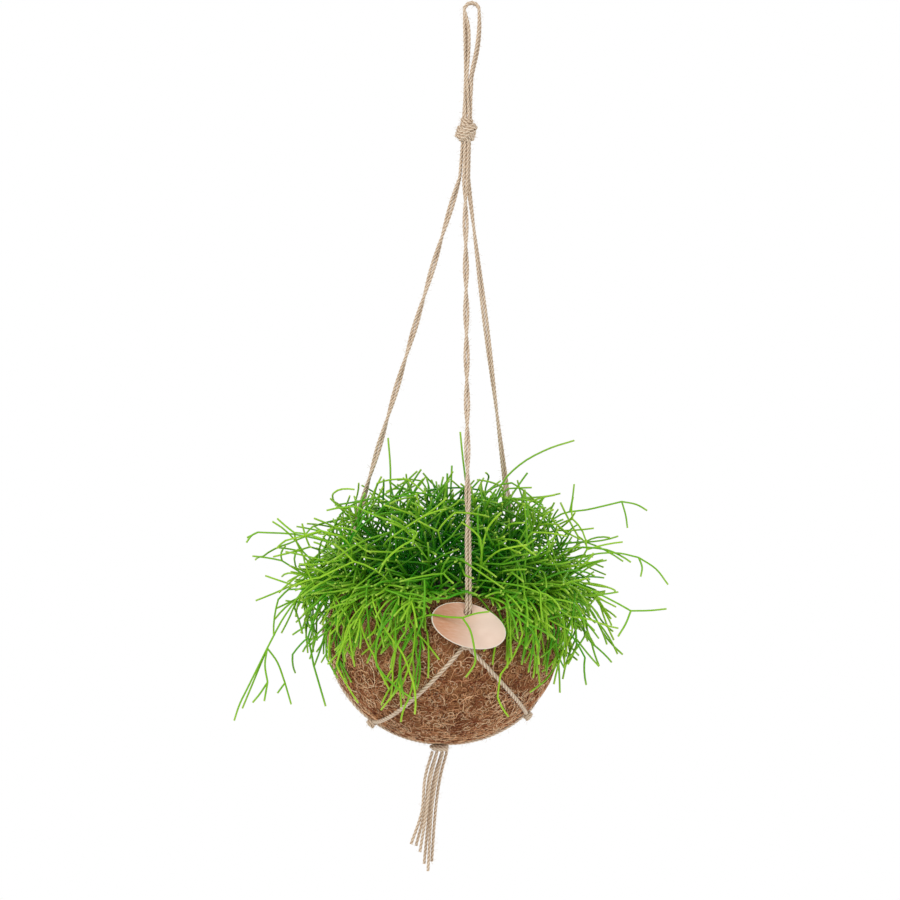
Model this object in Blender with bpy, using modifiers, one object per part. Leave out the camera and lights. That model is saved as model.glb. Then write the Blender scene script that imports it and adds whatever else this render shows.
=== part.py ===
"""A trailing mistletoe cactus in a coir ball, carried by a knotted jute hanger with an oval tag.

Metres, +Z up. The origin is the inner top of the hanger's loop, where a hook carries it.
The front is -Y. An azimuth is measured from the front, growing towards +X.
"""

import math
import random

import bmesh
import bpy
from mathutils import Matrix, Vector

MM = 0.001
GAP = 0.3 * MM  # between neighbours that touch on the real object

# The ball: a sphere above its equator, slightly flattened below, cut level at the rim.
BALL_RADIUS = 100 * MM
BALL_DEPTH = 94 * MM
BALL_CENTRE = Vector((0, 0, -545 * MM))
RIM_RISE = 35 * MM
COIR_WALL = 8 * MM
BALL_STEPS = 36
MIX_TOP = -500 * MM
MIX_FALL = 16 * MM  # the mound's drop from its middle to the wall
MIX_CLEARANCE = 0.7 * MM  # inside the coir, whose facets lie a little inside its true sphere

# The hanger's twine, and the azimuths of its three pairs of legs.
TWINE = 2.7 * MM
PAIR_HALF = 1.55 * MM  # from the middle of a pair to each cord's axis
LEG_TURNS = {"front": 4, "back": 1, "left": 3}  # full turns of each pair about itself
STEPS_PER_TURN = 12
TWIST_PART = 0.86  # share of the taut run over which a pair twists
BEND_STEPS = 60
FRONT_BEND_POINTS = 16
BEND_POINTS = 6
LEGS = {"front": 10.0, "back": 137.4, "left": -95.0}
HOOK_RADIUS = 5 * MM
LOOP_TOP_ROWS = (-3.2, 0.0, 3.2)  # where each loop cord lies over the hook, in millimetres
# Each side of each loop cord: x at three heights down, y at those heights and x, y in the bundle.
LOOP_HEIGHTS = (-20.0, -39.0)
LOOP_DEPTHS = (3.1, 2.95)
LOOP_LEFT = ((-2.0, -0.9), (-5.6, -4.3), (-3.6, -2.6))
LOOP_RIGHT = ((6.6, 5.2), (7.8, 6.9), (7.0, 5.8))
BUNDLE_SPACING = 3.0  # millimetres from each cord of the bundle to the next and to its axis
BUNDLE_HEIGHTS = (-62.0, -71.0, -80.0, -89.0, -98.1)
BUNDLE_TWIST = math.radians(60)
LOOP_POINTS = 45
COLLAR_RADIUS = 5.2 * MM
KNOT_WIDEST = 10.8 * MM
CROWN_TOP = -98.5 * MM
CROWN_FOOT = -120.5 * MM
BUNDLE_RADIUS = 4.2 * MM
BUNDLE_FOOT = -150 * MM

# The net: rim knots on the equator, low knots under it, and the base knot below the ball.
KNOT_RADIUS = 4.2 * MM
KNOT_REACH = KNOT_RADIUS + 0.9 * MM  # from a round knot's middle to a cord's flat end
RIM_KNOT_HEIGHT = -547 * MM
LOW_KNOTS = {"left": (-78.0, -621 * MM), "right": (80.0, -609 * MM), "rear": (190.0, -615 * MM)}
NET = {"front": ("left", "right"), "back": ("right", "rear"), "left": ("rear", "left")}
BASE_KNOT_RADIUS = 8.5 * MM
BASE_KNOT_HEIGHT = 7 * MM
BASE_TOP = BALL_CENTRE.z - BALL_DEPTH - GAP

# The tag: an oval plate that the front pair of cords is threaded through.
TAG_HALF_LENGTH = 32.0 * MM
TAG_HALF_WIDTH = 18.2 * MM
TAG_THICKNESS = 1.6 * MM
TAG_HOLE_RADIUS = 3.55 * MM
TAG_HOLE = Vector((-3.7 * MM, 10.9 * MM))  # from the oval's middle, along and across it
TAG_TILT = math.radians(14.7)
TAG_LEAN = math.radians(14)
TAG_REACH = 105.5 * MM  # from the hanger's axis to the hole
TAG_HOLE_HEIGHT = -519.7 * MM

# The plant's main stems.
STEM = 2.4 * MM
TWIG = 1.8 * MM
STEM_POINTS = 11
TWIG_POINTS = 5
STEM_FOOT = 3 * MM  # the upright start of each stem
TWIG_SPREAD = 5.0  # degrees that a fork turns aside
# base radius, reach, lift and fall of an arching stem, in millimetres
HABITS = {
    "upright": (16, 44, 178, 44),
    "arching": (26, 104, 190, 100),
    "soaring": (20, 108, 205, 74),
    "reaching": (34, 112, 150, 118),
    "spreading": (40, 152, 140, 128),
    "weeping": (45, 137, 122, 242),
    "trailing": (52, 62, 290, 385),
    "falling": (48, 84, 230, 330),
}
# Around the ring, between one pair of legs and the next.
RING = {
    ("front", "back"): (
        "arching falling trailing arching spreading spreading falling soaring"
    ).split(),
    ("back", "left"): (
        "arching trailing upright falling arching weeping trailing spreading"
    ).split(),
    ("left", "front"): "weeping upright falling trailing reaching upright".split(),
}

parts = bpy.data.collections.new("hanging_coir_ball_plant")
cutters = bpy.data.collections.new("cutters")


def clear_scene():
    for old in list(bpy.data.objects):
        bpy.data.objects.remove(old, do_unlink=True)
    for collection in (parts, cutters):
        bpy.context.scene.collection.children.link(collection)


def finish(name, colour, roughness):
    """A Principled material with the part's own colour."""
    material = bpy.data.materials.new(name)
    material.use_nodes = True
    shader = material.node_tree.nodes["Principled BSDF"]
    shader.inputs["Base Color"].default_value = (*colour, 1)
    shader.inputs["Roughness"].default_value = roughness
    shader.inputs["Metallic"].default_value = 0.0
    material.diffuse_color = (*colour, 1)
    return material


def placed(name, data, look, collection=parts):
    made = bpy.data.objects.new(name, data)
    collection.objects.link(made)
    if look:
        data.materials.append(look)
    if collection is cutters:
        made.hide_render = True
        made.display_type = "WIRE"
    return made


def outward(azimuth):
    angle = math.radians(azimuth)
    return Vector((math.sin(angle), -math.cos(angle), 0))


def sideways(azimuth):
    """To the right of someone who faces the ball at this azimuth."""
    angle = math.radians(azimuth)
    return Vector((math.cos(angle), math.sin(angle), 0))


def ball_radius_at(height, radius=BALL_RADIUS, depth=BALL_DEPTH):
    """The ball's radius at a height above its equator."""
    half = depth if height < 0 else radius
    return radius * math.sqrt(max(0.0, 1 - (height / half) ** 2))


def on_ball(direction, lift):
    """The point that lies lift outside the ball's surface, seen from its centre."""
    half = BALL_DEPTH if direction.z < 0 else BALL_RADIUS
    squash = Vector((1 / BALL_RADIUS, 1 / BALL_RADIUS, 1 / half))
    scaled = Vector(a * b for a, b in zip(direction, squash))
    touch = direction / scaled.length
    normal = Vector(a * b * b for a, b in zip(touch, squash)).normalized()
    return BALL_CENTRE + touch + normal * lift


def smooth_curve(points, count):
    """A Catmull-Rom curve through the points, sampled evenly along each stretch."""
    ends = [points[0] * 2 - points[1], *points, points[-1] * 2 - points[-2]]
    found = []
    stretches = len(points) - 1
    for step in range(count):
        place = step / (count - 1) * stretches
        i = min(int(place), stretches - 1)
        t = place - i
        a, b, c, d = ends[i : i + 4]
        found.append(
            0.5
            * (
                2 * b
                + (c - a) * t
                + (2 * a - 5 * b + 4 * c - d) * t**2
                + (3 * b - a - 3 * c + d) * t**3
            )
        )
    return found


def cord(name, points, diameter, look, resolution=1):
    """A tube of even thickness along the points, with flat ends."""
    curve = bpy.data.curves.new(name, "CURVE")
    curve.dimensions = "3D"
    curve.bevel_depth = diameter / 2
    curve.bevel_resolution = resolution
    curve.use_fill_caps = True
    spline = curve.splines.new("POLY")
    spline.points.add(len(points) - 1)
    for point, place in zip(spline.points, points):
        point.co = (*place, 1)
    return placed(name, curve, look)


def as_mesh(tube, collection):
    """Turns a tube into a closed mesh, which a Boolean can use."""
    evaluated = tube.evaluated_get(bpy.context.evaluated_depsgraph_get())
    mesh = bpy.data.meshes.new_from_object(evaluated)
    shape = bmesh.new()
    shape.from_mesh(mesh)
    bmesh.ops.remove_doubles(shape, verts=shape.verts, dist=0.001 * MM)
    shape.to_mesh(mesh)
    shape.free()
    name = tube.name
    place = tube.matrix_world.copy()
    bpy.data.objects.remove(tube, do_unlink=True)
    made = placed(name, mesh, None, collection)
    made.matrix_world = place
    return made


def turned(name, profile, steps, look):
    """A profile of (radius, height) pairs, run down its outer side and turned about Z."""
    mesh = bpy.data.meshes.new(name)
    edges = [(i, i + 1) for i in range(len(profile) - 1)]
    mesh.from_pydata([(radius, 0, height) for radius, height in profile], edges, [])
    made = placed(name, mesh, look)
    screw = made.modifiers.new("turn", "SCREW")
    screw.steps = steps
    screw.render_steps = steps
    screw.use_merge_vertices = True
    screw.merge_threshold = 0.00001
    return made


def round_knot(name, centre, look):
    mesh = bpy.data.meshes.new(name)
    shape = bmesh.new()
    bmesh.ops.create_uvsphere(shape, u_segments=12, v_segments=8, radius=KNOT_RADIUS)
    shape.to_mesh(mesh)
    shape.free()
    mesh.shade_smooth()
    made = placed(name, mesh, look)
    made.location = centre
    return made


def cut_short(points, centre, radius):
    """Drops the stretches of a dense route inside a ball, and ends it on the ball's face."""
    outside = [p for p in points if (p - centre).length >= radius]
    whole = []
    for before, after in zip(points, points[1:]):
        near = (before - centre).length < radius
        far = (after - centre).length < radius
        if near == far:
            continue
        inside, beyond = (before, after) if near else (after, before)
        low, high = 0.0, 1.0
        for _ in range(30):
            middle = (low + high) / 2
            if (inside.lerp(beyond, middle) - centre).length < radius:
                low = middle
            else:
                high = middle
        whole.append((near, inside.lerp(beyond, high)))
    for at_start, place in whole:
        if at_start:
            outside.insert(0, place)
        else:
            outside.append(place)
    return outside


def thinned(points, count):
    """The same route with count points, evenly spaced along it."""
    lengths = [0.0]
    for before, after in zip(points, points[1:]):
        lengths.append(lengths[-1] + (after - before).length)
    found = []
    i = 0
    for step in range(count):
        wanted = lengths[-1] * step / (count - 1)
        while i < len(points) - 2 and lengths[i + 1] < wanted:
            i += 1
        share = (wanted - lengths[i]) / max(lengths[i + 1] - lengths[i], 1e-9)
        found.append(points[i].lerp(points[i + 1], share))
    return found


def ball_profile(radius, depth, top, count):
    """(radius, height) pairs down the side of a ball of this size, from a height to its foot."""
    start = math.asin(top / radius)
    found = []
    for step in range(count):
        angle = start + (-math.pi / 2 - start) * step / (count - 1)
        half = depth if angle < 0 else radius
        found.append((max(0.0, radius * math.cos(angle)), BALL_CENTRE.z + half * math.sin(angle)))
    return found[:-1] + [(0.0, found[-1][1])]


def build_ball():
    """The coir shell, open at the top, and the potting mix that fills it."""
    coir = finish("coir", (0.36, 0.21, 0.12), 0.95)
    outer = ball_profile(BALL_RADIUS, BALL_DEPTH, RIM_RISE, 14)
    inner = ball_profile(BALL_RADIUS - COIR_WALL, BALL_DEPTH - COIR_WALL, RIM_RISE, 12)
    rim_middle = ((outer[0][0] + inner[0][0]) / 2, outer[0][1] + COIR_WALL / 4)
    turned("coir_ball", [*reversed(inner), rim_middle, *outer], BALL_STEPS, coir)

    earth = finish("potting_mix", (0.07, 0.045, 0.03), 1.0)
    radius = BALL_RADIUS - COIR_WALL - MIX_CLEARANCE
    depth = BALL_DEPTH - COIR_WALL - MIX_CLEARANCE
    edge_rise = MIX_TOP - MIX_FALL - BALL_CENTRE.z
    side = ball_profile(radius, depth, edge_rise, 10)
    mound = [(side[0][0] * i / 4, mix_height(side[0][0] * i / 4)) for i in range(4)]
    turned("potting_mix", [*mound, *side], BALL_STEPS, earth)


def mix_height(radius):
    """The height of the potting mix's mounded top."""
    wall = ball_radius_at(MIX_TOP - MIX_FALL - BALL_CENTRE.z) - COIR_WALL
    return MIX_TOP - MIX_FALL * (radius / wall) ** 2


def loop_side(number, hand):
    """One side of a loop cord from below the hook down to the knot, joining the bundle."""
    row = number - 1
    across = (LOOP_LEFT if hand < 0 else LOOP_RIGHT)[number]
    places = [Vector((x, row * y, z)) for x, y, z in zip(across, LOOP_DEPTHS, LOOP_HEIGHTS)]
    start = math.atan2(row, hand) if row == 0 else row * math.radians(90 - 30 * hand)
    for step, height in enumerate(BUNDLE_HEIGHTS):
        angle = start + BUNDLE_TWIST * step / (len(BUNDLE_HEIGHTS) - 1)
        spot = (math.cos(angle) * BUNDLE_SPACING, math.sin(angle) * BUNDLE_SPACING, height)
        places.append(Vector(spot))
    return [place * MM for place in places]


def build_loops(jute):
    """Three cords folded over the hook, and the crown knot that gathers them."""
    arc = HOOK_RADIUS + TWINE / 2
    for number, row in enumerate(LOOP_TOP_ROWS):
        over = []
        for step in range(9):
            angle = math.pi * step / 8
            over.append(Vector((arc * math.cos(angle), row * MM, arc * math.sin(angle) - HOOK_RADIUS)))
        rising = list(reversed(loop_side(number, 1)))
        route = smooth_curve([*rising, *over, *loop_side(number, -1)], LOOP_POINTS)
        cord(f"loop_cord_{number + 1}", route, TWINE, jute)

    heights = (CROWN_TOP, CROWN_TOP - 6.5 * MM, CROWN_TOP - 10.5 * MM, CROWN_TOP - 14.5 * MM)
    widths = (COLLAR_RADIUS, COLLAR_RADIUS + 0.2 * MM, 9 * MM, KNOT_WIDEST)
    lower = [(10.2 * MM, CROWN_FOOT + 3 * MM), (7.2 * MM, CROWN_FOOT)]
    profile = [(0, CROWN_TOP), *zip(widths, heights), *lower, (0, CROWN_FOOT)]
    turned("crown_knot", profile, 20, jute)


def leg_route(leg):
    """(outward, height) pairs from the crown knot down to the rim knot."""
    contact = BALL_CENTRE.z + 25 * MM
    touch = ball_radius_at(25 * MM) + TWINE / 2 + GAP
    start = [(BUNDLE_RADIUS, CROWN_FOOT - GAP), (BUNDLE_RADIUS, BUNDLE_FOOT)]
    if leg != "front":
        low = RIM_KNOT_HEIGHT + 12 * MM
        beside = ball_radius_at(low - BALL_CENTRE.z) + TWINE / 2 + GAP
        return [*start, (touch, contact), (beside, low), (BALL_RADIUS + 2.4 * MM, RIM_KNOT_HEIGHT)]
    # In front of the tag's top, through its hole from front to back, and down behind it.
    through = [(1.3, 10), (2.1, 6.5), (2.0, 3.4), (0, 0), (-2.0, -3.4), (-2.9, -7), (-2.6, -13)]
    bent = [(TAG_REACH + out * MM, TAG_HOLE_HEIGHT + up * MM) for out, up in through]
    return [*start, *bent, (BALL_RADIUS + 3.5 * MM, RIM_KNOT_HEIGHT)]


def knot_centre(azimuth, height):
    """A knot's middle, resting against the ball at this height."""
    rise = height - BALL_CENTRE.z
    foot = outward(azimuth) * ball_radius_at(rise) + Vector((0, 0, rise))
    return on_ball(foot, KNOT_RADIUS + GAP)


def twisted_run(top, bottom, azimuth, turns, side):
    """One cord of a pair winding about the other between two points of the pair's middle line."""
    count = turns * STEPS_PER_TURN
    run = []
    for step in range(count):
        done = step / count
        angle = 2 * math.pi * turns * min(1.0, done / TWIST_PART)
        aside = sideways(azimuth) * math.cos(angle) + outward(azimuth) * math.sin(angle)
        run.append(top.lerp(bottom, done) + aside * PAIR_HALF * side)
    return run


def build_legs(jute):
    """Each pair winds about itself down its taut run, and lies side by side on the ball."""
    for leg, azimuth in LEGS.items():
        centre = knot_centre(azimuth, RIM_KNOT_HEIGHT)
        round_knot(f"rim_knot_{leg}", centre, jute)
        for number, side in enumerate((-1, 1), 1):
            aside = sideways(azimuth) * PAIR_HALF * side
            route = [outward(azimuth) * n + aside + Vector((0, 0, z)) for n, z in leg_route(leg)]
            run = twisted_run(route[1] - aside, route[2] - aside, azimuth, LEG_TURNS[leg], side)
            bent = smooth_curve(route[2:], BEND_STEPS)
            kept = cut_short(bent, centre, KNOT_REACH)
            count = FRONT_BEND_POINTS if leg == "front" else BEND_POINTS
            cord(f"leg_{leg}_{number}", [route[0], *run, *thinned(kept, count)], TWINE, jute)


def net_route(start, end, aside):
    """A taut cord's way over the ball from one point to another, aside from its middle line."""
    first = start - BALL_CENTRE
    last = end - BALL_CENTRE
    lie = TWINE / 2 + GAP
    across = first.cross(last).normalized() * aside
    return [on_ball(first.lerp(last, i / 60), lie) + across for i in range(61)]


def build_net(jute):
    lows = {name: knot_centre(*place) for name, place in LOW_KNOTS.items()}
    for leg, ends in NET.items():
        top = knot_centre(LEGS[leg], RIM_KNOT_HEIGHT)
        for end in ends:
            route = net_route(top, lows[end], 0)
            kept = cut_short(route, top, KNOT_REACH)
            kept = cut_short(kept, lows[end], KNOT_REACH)
            cord(f"net_cord_{leg}_{end}", thinned(kept, 10), TWINE, jute)

    foot = BALL_CENTRE + Vector((0, 0, -BALL_DEPTH))
    edge = BASE_KNOT_RADIUS + GAP
    for low, centre in lows.items():
        round_knot(f"low_knot_{low}", centre, jute)
        for number, side in enumerate((-1, 1), 1):
            route = net_route(centre, foot, side * PAIR_HALF)
            route = cut_short(route, centre, KNOT_REACH)
            kept = [p for p in route if math.hypot(p.x, p.y) > edge + TWINE / 4]
            cord(f"base_cord_{low}_{number}", thinned(kept, 8), TWINE, jute)

    top = BASE_TOP
    foot = top - BASE_KNOT_HEIGHT
    round_off = 1.5 * MM
    profile = [(0, top), (BASE_KNOT_RADIUS - round_off, top)]
    profile += [(BASE_KNOT_RADIUS, top - round_off), (BASE_KNOT_RADIUS, foot + round_off)]
    profile += [(BASE_KNOT_RADIUS - round_off / 4, foot), (0, foot)]
    turned("base_knot", profile, 16, jute)


# Each strand hangs from the base knot through these points, in millimetres from the hanger's
# axis, the last at its own height and the others at shared heights.
TASSEL_HEIGHTS = (-647.2, -671, -700)
TASSEL = (
    ((-6.0, -2.5), (-11.5, -3.5), (-13.0, -3.5), (-21.0, -5.0, -728)),
    ((-2.0, 2.5), (-8.0, 2.2), (-10.5, 1.5), (-16.7, 1.0, -730)),
    ((-2.0, -3.0), (-6.6, -4.5), (-9.0, -6.0), (-13.0, -8.0, -734)),
    ((2.5, 3.5), (-3.5, 4.5), (-6.5, 5.5), (-9.0, 6.0, -746)),
    ((3.0, -2.5), (-1.5, -2.5), (-4.5, -1.5), (-5.4, -2.0, -751)),
    ((6.5, 1.0), (1.5, 1.5), (-1.2, 1.5), (-2.5, 1.2, -743)),
)


def build_tassel(jute):
    for number, strand in enumerate(TASSEL, 1):
        hung = [Vector((*place, z)) * MM for place, z in zip(strand, TASSEL_HEIGHTS)]
        hung.append(Vector(strand[-1]) * MM)
        cord(f"tassel_{number}", smooth_curve(hung, 14), TWINE, jute, resolution=2)


def build_tag():
    wood = finish("tag", (0.62, 0.42, 0.31), 0.6)
    bpy.ops.mesh.primitive_cylinder_add(vertices=48, radius=1, depth=TAG_THICKNESS)
    oval = bpy.context.object
    oval.name = "tag"
    for holder in list(oval.users_collection):
        holder.objects.unlink(oval)
    parts.objects.link(oval)
    oval.data.materials.append(wood)
    oval.data.transform(Matrix.Diagonal((TAG_HALF_LENGTH, TAG_HALF_WIDTH, 1, 1)))

    bpy.ops.mesh.primitive_cylinder_add(vertices=24, radius=TAG_HOLE_RADIUS, depth=TAG_THICKNESS * 3)
    punch = bpy.context.object
    punch.name = "tag_hole"
    for holder in list(punch.users_collection):
        holder.objects.unlink(punch)
    cutters.objects.link(punch)
    punch.hide_render = True
    punch.display_type = "WIRE"
    punch.data.transform(Matrix.Translation((TAG_HOLE.x, TAG_HOLE.y, 0)))
    punched = oval.modifiers.new("hole", "BOOLEAN")
    punched.operation = "DIFFERENCE"
    punched.object = punch

    azimuth = LEGS["front"]
    out, right, up = outward(azimuth), sideways(azimuth), Vector((0, 0, 1))
    rise = up * math.cos(TAG_LEAN) - out * math.sin(TAG_LEAN)
    face = out * math.cos(TAG_LEAN) + up * math.sin(TAG_LEAN)
    along = right * math.cos(TAG_TILT) - rise * math.sin(TAG_TILT)
    across = right * math.sin(TAG_TILT) + rise * math.cos(TAG_TILT)
    hole = out * TAG_REACH + up * TAG_HOLE_HEIGHT
    middle = hole - along * TAG_HOLE.x - across * TAG_HOLE.y
    place = Matrix((along, across, face)).transposed().to_4x4()
    place.translation = middle
    oval.matrix_world = place
    punch.matrix_world = place


def arch(azimuth, base, reach, lift, fall, turn=0.0):
    """A function of t, 0 to 1, that gives a point on a thrown arch."""
    start, height = base

    def point(t):
        out = start + reach * t
        return outward(azimuth + turn * t) * out + Vector((0, 0, height + lift * t - fall * t * t))

    return point


def stem_azimuths():
    """(azimuth, habit) of each stem, evenly set between the legs and clear of them."""
    found = []
    for (first, second), habits in RING.items():
        start, end = LEGS[first], LEGS[second]
        width = (end - start) % 360
        for number, habit in enumerate(habits, 1):
            found.append((start + width * number / (len(habits) + 1), habit))
    return found


def build_stem(number, azimuth, habit, green, chance):
    """One main stem with two forks, grown together into one piece."""
    base, reach, lift, fall = (size * MM for size in HABITS[habit])
    reach *= chance.uniform(0.94, 1.04)
    lift *= chance.uniform(0.95, 1.03)
    soil = mix_height(base) + GAP + 0.2 * MM
    foot = outward(azimuth) * base + Vector((0, 0, soil))
    main = arch(azimuth, (base, soil + STEM_FOOT), reach, lift, fall)
    points = [foot, *(main(i / (STEM_POINTS - 2)) for i in range(STEM_POINTS - 1))]
    stem = as_mesh(cord(f"stem_{number:02d}", points, STEM, None), parts)
    stem.data.materials.append(green)
    for fork, (where, side) in enumerate(((0.5, 1), (0.76, -1)), 1):
        left = 1 - where
        begin = main(where)
        out = math.hypot(begin.x, begin.y)
        slope = lift - 2 * fall * where
        size = chance.uniform(0.75, 0.95)
        raised = chance.uniform(8, 16) * MM
        twig = arch(
            azimuth,
            (out, begin.z),
            reach * left * size,
            slope * left * size + raised,
            fall * left * left * size,
            TWIG_SPREAD * side,
        )
        route = [twig(i / (TWIG_POINTS - 1)) for i in range(TWIG_POINTS)]
        branch = as_mesh(cord(f"stem_{number:02d}_fork_{fork}", route, TWIG, None), cutters)
        joined = stem.modifiers.new(f"fork_{fork}", "BOOLEAN")
        joined.operation = "UNION"
        joined.object = branch


def build_plant():
    green = finish("stem_green", (0.12, 0.42, 0.04), 0.45)
    chance = random.Random(11)
    for number, (azimuth, habit) in enumerate(stem_azimuths(), 1):
        build_stem(number, azimuth, habit, green, chance)


clear_scene()
build_ball()
twine = finish("jute", (0.58, 0.43, 0.29), 0.9)
build_loops(twine)
build_legs(twine)
build_net(twine)
build_tassel(twine)
build_tag()
build_plant()
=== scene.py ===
"""The finish of a hanging kokedama: a trailing mistletoe cactus in a coir ball and a jute hanger."""

import math
import random

import bmesh
import bpy
import numpy as np
from mathutils import Matrix, Vector, noise


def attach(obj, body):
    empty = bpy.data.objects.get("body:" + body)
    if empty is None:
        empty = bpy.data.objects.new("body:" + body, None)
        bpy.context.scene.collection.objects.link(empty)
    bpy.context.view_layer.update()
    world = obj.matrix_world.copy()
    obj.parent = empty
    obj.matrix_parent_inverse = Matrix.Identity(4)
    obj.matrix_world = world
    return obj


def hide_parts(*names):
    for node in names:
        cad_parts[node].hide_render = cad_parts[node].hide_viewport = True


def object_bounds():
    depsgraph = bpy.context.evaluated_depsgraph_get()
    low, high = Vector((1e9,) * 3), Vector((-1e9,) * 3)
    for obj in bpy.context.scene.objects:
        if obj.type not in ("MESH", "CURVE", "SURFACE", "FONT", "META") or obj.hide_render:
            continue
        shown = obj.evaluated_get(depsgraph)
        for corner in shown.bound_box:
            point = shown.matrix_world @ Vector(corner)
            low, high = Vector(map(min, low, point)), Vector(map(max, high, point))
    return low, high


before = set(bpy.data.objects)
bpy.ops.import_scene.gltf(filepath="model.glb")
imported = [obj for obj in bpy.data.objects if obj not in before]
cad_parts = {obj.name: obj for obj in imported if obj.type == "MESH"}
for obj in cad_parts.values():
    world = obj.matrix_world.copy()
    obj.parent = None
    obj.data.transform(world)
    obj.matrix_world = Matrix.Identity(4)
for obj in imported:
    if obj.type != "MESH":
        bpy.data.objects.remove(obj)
cad_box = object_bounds()
MM = 0.001
root = "root"

# ---- Stage
# A camera level with the middle of the hanger and turned a little about its line of sight,
# a pale floor far below the tassel, and soft lamps that leave colours as they are written.
CAMERA_DISTANCE = 2.4
CAMERA_ACROSS = -2.2 * MM
CAMERA_HEIGHT = -386.2 * MM
VIEW_WIDTH = 0.7794
SENSOR = 36
ROLL = math.radians(2.5)


def added(name, data, *looks):
    """A new object in the scene; a mesh also gets its looks."""
    for look in looks:
        data.materials.append(look.material)
    made = bpy.data.objects.new(name, data)
    bpy.context.scene.collection.objects.link(made)
    return made


camera_data = bpy.data.cameras.new("camera")
camera_data.sensor_width = SENSOR
camera_data.lens = SENSOR * CAMERA_DISTANCE / VIEW_WIDTH
camera = added("camera", camera_data)
right = Vector((math.cos(ROLL), 0, math.sin(ROLL)))
above = Vector((-math.sin(ROLL), 0, math.cos(ROLL)))
camera.matrix_world = Matrix((right, above, (0, -1, 0))).transposed().to_4x4()
camera.location = (CAMERA_ACROSS, -CAMERA_DISTANCE, CAMERA_HEIGHT)
bpy.context.scene.camera = camera
bpy.context.scene.view_settings.view_transform = "Standard"


class Amount:
    """A number that varies over a surface: Python's operators add the Math nodes for it."""

    def __init__(self, finish, socket):
        self.finish = finish
        self.socket = socket

    def math(self, operation, first, second):
        made = self.finish.node("Math", {0: first, 1: second}, operation=operation)
        return Amount(self.finish, made.outputs[0])

    def __add__(self, other):
        return self.math("ADD", self, other)

    def __sub__(self, other):
        return self.math("SUBTRACT", self, other)

    def __rsub__(self, other):
        return self.math("SUBTRACT", other, self)

    def __mul__(self, other):
        return self.math("MULTIPLY", self, other)

    def __pow__(self, other):
        return self.math("POWER", self, other)

    __radd__ = __add__
    __rmul__ = __mul__

    def within(self, low, high):
        """0 below low, 1 above high and smooth between."""
        sockets = {"Value": self, "From Min": low, "From Max": high}
        made = self.finish.node("MapRange", sockets, interpolation_type="SMOOTHSTEP")
        return Amount(self.finish, made.outputs["Result"])


class Nodes:
    """A node tree in the making."""

    def __init__(self, tree, family="ShaderNode"):
        self.tree = tree
        self.family = family

    def feed(self, socket, value):
        if isinstance(value, Amount):
            value = value.socket
        if isinstance(value, bpy.types.NodeSocket):
            self.tree.links.new(value, socket)
        else:
            socket.default_value = value

    def node(self, kind, sockets=None, **settings):
        made = self.tree.nodes.new(kind if "Node" in kind else self.family + kind)
        for setting, value in settings.items():
            setattr(made, setting, value)
        for key, value in (sockets or {}).items():
            self.feed(made.inputs[key], value)
        return made

    def vectors(self, operation, first, second=(0, 0, 0)):
        return self.node("ShaderNodeVectorMath", {0: first, 1: second}, operation=operation).outputs[0]

    def scaled(self, vector, factor):
        sockets = {0: vector, "Scale": factor}
        return self.node("ShaderNodeVectorMath", sockets, operation="SCALE").outputs[0]

    def length(self, vector):
        made = self.node("ShaderNodeVectorMath", {0: vector}, operation="LENGTH")
        return made.outputs["Value"]


class Finish(Nodes):
    """A Principled material, and the nodes that vary it over the surface."""

    def __init__(self, name, roughness, specular=0.5):
        self.material = bpy.data.materials.new(name)
        self.material.use_nodes = True
        super().__init__(self.material.node_tree)
        self.surface = self.tree.nodes["Principled BSDF"]
        self.set("Roughness", roughness)
        self.set("Specular IOR Level", specular)

    def place(self, stretch=(1, 1, 1)):
        """The surface's own coordinates, in metres, stretched along each axis."""
        here = self.node("TexCoord").outputs["Object"]
        return self.node("Mapping", {"Vector": here, "Scale": stretch}).outputs[0]

    def noise(self, scale, detail=3.0, vector=None, roughness=0.5):
        sockets = {"Scale": scale, "Detail": detail, "Roughness": roughness}
        sockets["Vector"] = vector or self.place()
        return Amount(self, self.node("TexNoise", sockets).outputs[0])

    def attribute(self, name):
        return Amount(self, self.node("Attribute", attribute_name=name).outputs["Fac"])

    def ramp(self, amount, stops):
        made = self.node("ValToRGB", {"Fac": amount})
        while len(made.color_ramp.elements) < len(stops):
            made.color_ramp.elements.new(0.5)
        for element, (place, colour) in zip(made.color_ramp.elements, stops):
            element.position = place
            element.color = (*colour, 1)
        return made.outputs["Color"]

    def mix(self, amount, first, second):
        sockets = {"Factor": amount, 6: first, 7: second}
        return self.node("Mix", sockets, data_type="RGBA").outputs[2]

    def set(self, name, value):
        self.feed(self.surface.inputs[name], value)

    def bump(self, height, strength, distance):
        sockets = {"Height": height, "Strength": strength, "Distance": distance}
        self.set("Normal", self.node("Bump", sockets).outputs[0])


def lamp(name, place, target, size, power):
    data = bpy.data.lights.new(name, "AREA")
    data.shape = "DISK"
    data.size = size
    data.energy = power
    made = added(name, data)
    made.location = place
    made.rotation_euler = (Vector(target) - Vector(place)).to_track_quat("-Z", "Y").to_euler()


plant_middle = (0, 0, -0.5)
lamp("key_lamp", (-1.5, -1.7, 0.9), plant_middle, 1.4, 29)
lamp("fill_lamp", (1.9, -1.5, -0.1), plant_middle, 1.6, 12)
lamp("rear_lamp", (0.6, 1.9, 0.7), plant_middle, 1.4, 17)

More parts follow.
